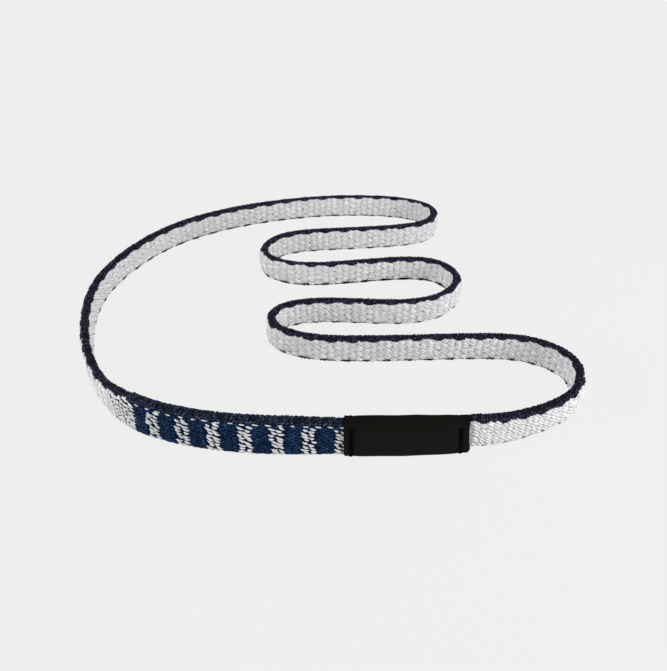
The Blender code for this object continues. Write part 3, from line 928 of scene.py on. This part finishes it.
def yarn_look(name, colours, sheen, fibres=LONG_FIBRES, crest_range=CREST_RANGE):
    """Yarn of many fibres: painted shade where it dives and on its sides, painted highlight on its
    crest, and lighter along some fibres.
    """
    yarn, light, shade = colours
    look, nodes, links, shader = new_look(name, sheen)
    fibre = grain(nodes, links, fibres, FIBRE_CONTRAST)
    blend = nodes.new("ShaderNodeMath")
    blend.operation = "MULTIPLY"
    links.new(attribute(nodes, "tone").outputs["Fac"], blend.inputs[0])
    links.new(fibre, blend.inputs[1])
    # Painted light: the crest lays the shade colour where the yarn dives and the lit colour on its top
    crest = stretched(nodes, links, attribute(nodes, "crest").outputs["Fac"], crest_range)
    lit = colour_mix(nodes, links, blend.outputs[0], yarn, light)
    links.new(colour_mix(nodes, links, crest, shade, lit), shader.inputs["Base Color"])
    add_relief(nodes, links, shader, fibre, FIBRE_BUMP_SHARE, FIBRE_HEIGHT)
    return look


def gap_shade_look():
    """The ground between the white floats: pale grey painted shade for the gaps, with random darker
    specks.
    """
    look, nodes, links, shader = new_look("ground_painted_shade", GROUND_SHEEN)
    speck = grain(nodes, links, SPECKS, SPECK_CONTRAST)
    links.new(colour_mix(nodes, links, speck, GAP_SHADE_GREY, SPECK_GREY),
              shader.inputs["Base Color"])
    return look


def label_look():
    """Fine black satin with faint ribs along the label."""
    look, nodes, links, shader = new_look("label_satin", LABEL_SHEEN)
    rib = nodes.new("ShaderNodeTexWave")
    rib.bands_direction = "Y"
    rib.inputs["Scale"].default_value = RIB_SCALE
    rib.inputs["Distortion"].default_value = RIB_DISTORTION
    links.new(attribute(nodes, "yarn").outputs["Vector"], rib.inputs["Vector"])
    links.new(colour_mix(nodes, links, rib.outputs["Fac"], LABEL_BLACK, LABEL_LIGHT),
              shader.inputs["Base Color"])
    add_relief(nodes, links, shader, rib.outputs["Fac"], RIB_BUMP_SHARE, RIB_HEIGHT)
    return look


def make_piece(patch, name, look, slot, *replaced):
    """A piece of the visual model, in place of the solids that it replaces."""
    piece = bpy.data.objects.new(name, patch.mesh(name))
    bpy.context.scene.collection.objects.link(piece)
    piece.data.materials.append(look)
    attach(piece, "root")
    for node in replaced:
        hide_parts(node)
    return piece


def make_strip(rng, white, navy):
    """The webbing: its core, its floats and its edges."""
    patch = Patch()
    add_core(patch, STRIP, NECK, LOOP + TAIL_END)
    core = make_piece(patch, "webbing_core", gap_shade_look(), "white_webbing", "web_ground")
    for side, name in ((1, "white_floats_outer"), (-1, "white_floats_inner")):
        make_piece(white_floats(side, rng), name, white, "white_webbing")
    make_piece(navy_bands(rng), "navy_bands", navy, "navy_selvedge")
    make_piece(upper_navy(rng), "navy_edge_upper", navy, "navy_selvedge", "upper_selvedge")
    make_piece(lower_navy(rng), "navy_edge_lower", navy, "navy_selvedge", "lower_selvedge")
    places = np.linspace(NECK, LOOP + TAIL_END, PATH_POINTS)
    middle = np.zeros(PATH_POINTS)
    path = [tuple(point) for point in place_in_frame(places, middle, middle)]


def make_hollow_end(rng):
    """The hollow end: its core, its navy edges and its banded floats."""
    white = yarn_look("band_white_yarn", (WHITE_YARN, WHITE_LIGHT, BAND_SHADE), WHITE_SHEEN)
    deep = yarn_look("deep_yarn", (BLUE_SHADE, BLUE_YARN, NAVY_SHADE), BLUE_SHEEN, FINE_FIBRES)
    blue = yarn_look("blue_yarn", (BLUE_YARN, BLUE_LIGHT, BLUE_SHADE), BLUE_SHEEN, FINE_FIBRES)
    navy = yarn_look("sleeve_navy_yarn", (NAVY_YARN, SLEEVE_NAVY_HIGHLIGHT, NAVY_SHADE), NAVY_SHEEN,
                     FINE_FIBRES)
    patch = Patch()
    add_core(patch, SLEEVE, MOUTH_INSET, NECK)
    add_core(patch, STRIP, NECK, NECK + NECK_NAVY_LENGTH, NECK_NAVY_DEPTH)
    make_piece(patch, "sleeve_core", deep, "patterned_weave", "patterned_sleeve")
    make_piece(sleeve_edges(rng), "sleeve_edges", navy, "patterned_weave")
    for side, name in ((1, "outer"), (-1, "inner")):
        make_piece(banded_floats(side, rng), f"banded_white_{name}", white, "patterned_weave")
        make_piece(blue_floats(side, rng), f"banded_blue_{name}", blue, "patterned_weave")


def make_label():
    """The label and its two seams."""
    thread = yarn_look("seam_thread", (SEAM_BLACK, SEAM_LIGHT, SEAM_BLACK), SEAM_SHEEN)
    make_piece(label_shell(), "label", label_look(), "black_label", "label_sleeve")
    for middle, name in zip(SEAM_PLACES, ("right", "left")):
        make_piece(seam(middle), f"seam_{name}", thread, "label_thread", f"label_seam_{name}")


def dress_tacks():
    """The bar tacks stay as they are, hidden in the joint, in pale thread."""
    thread = yarn_look("tack_thread", (TACK_WHITE, TACK_LIGHT, TACK_WHITE), TACK_SHEEN)
    for i in range(TACKS):
        tack = bpy.data.objects[f"bar_tack_{i + 1}"]
        tack.data.materials.clear()
        tack.data.materials.append(thread)


def make_floor():
    """A pale floor that glows evenly and takes faint shadows."""
    bpy.ops.mesh.primitive_plane_add(size=FLOOR_SIZE)
    floor = bpy.context.object
    floor.name = "floor"
    look, _, _, shader = new_look("pale_floor", FLOOR_SHEEN)
    shader.inputs["Base Color"].default_value = (*FLOOR_GREY, 1.0)
    shader.inputs["Emission Color"].default_value = (*FLOOR_GLOW, 1.0)
    shader.inputs["Emission Strength"].default_value = 1.0
    floor.data.materials.append(look)
    floor.visible_diffuse = False


def make_camera():
    """The camera at the photo's angle, worked out from the photo."""
    data = bpy.data.cameras.new("camera")
    data.sensor_width = SENSOR_MM
    data.lens = FOCAL_PIXELS / PICTURE_HEIGHT * SENSOR_MM
    data.clip_start = NEAR_CLIP
    data.clip_end = FAR_CLIP
    camera = bpy.data.objects.new("camera", data)
    plan = np.array(CAMERA_PLAN) + SHIFT
    camera.location = (plan[0], plan[1], CAMERA_HEIGHT)
    camera.rotation_euler = (np.radians(90.0 - CAMERA_PITCH), 0.0, 0.0)
    bpy.context.scene.collection.objects.link(camera)
    bpy.context.scene.camera = camera


def make_light():
    """An even pale room and the soft lamps."""
    scene = bpy.context.scene
    scene.view_settings.view_transform = "Standard"
    world = bpy.data.worlds.new("soft_room")
    world.use_nodes = True
    background = world.node_tree.nodes["Background"]
    background.inputs["Color"].default_value = ROOM_WHITE
    background.inputs["Strength"].default_value = ROOM_STRENGTH
    scene.world = world
    for name, (place, power) in LAMPS.items():
        data = bpy.data.lights.new(name, "AREA")
        data.size = LAMP_SIZE
        data.energy = power
        lamp = bpy.data.objects.new(name, data)
        lamp.location = place
        lamp.rotation_euler = lamp.location.to_track_quat("Z", "Y").to_euler()
        scene.collection.objects.link(lamp)


def make_sling():
    """The strip, its hollow end, the label and the bar tacks."""
    rng = np.random.default_rng(SEED)
    white = yarn_look("white_yarn", (WHITE_YARN, WHITE_LIGHT, WHITE_SHADE), WHITE_SHEEN,
                      crest_range=WHITE_CREST_RANGE)
    navy = yarn_look("navy_yarn", (NAVY_YARN, NAVY_HIGHLIGHT, NAVY_SHADE), NAVY_SHEEN, SHORT_FIBRES)
    make_strip(rng, white, navy)
    make_hollow_end(rng)
    make_label()
    dress_tacks()


make_camera()
make_light()
make_floor()
make_sling()
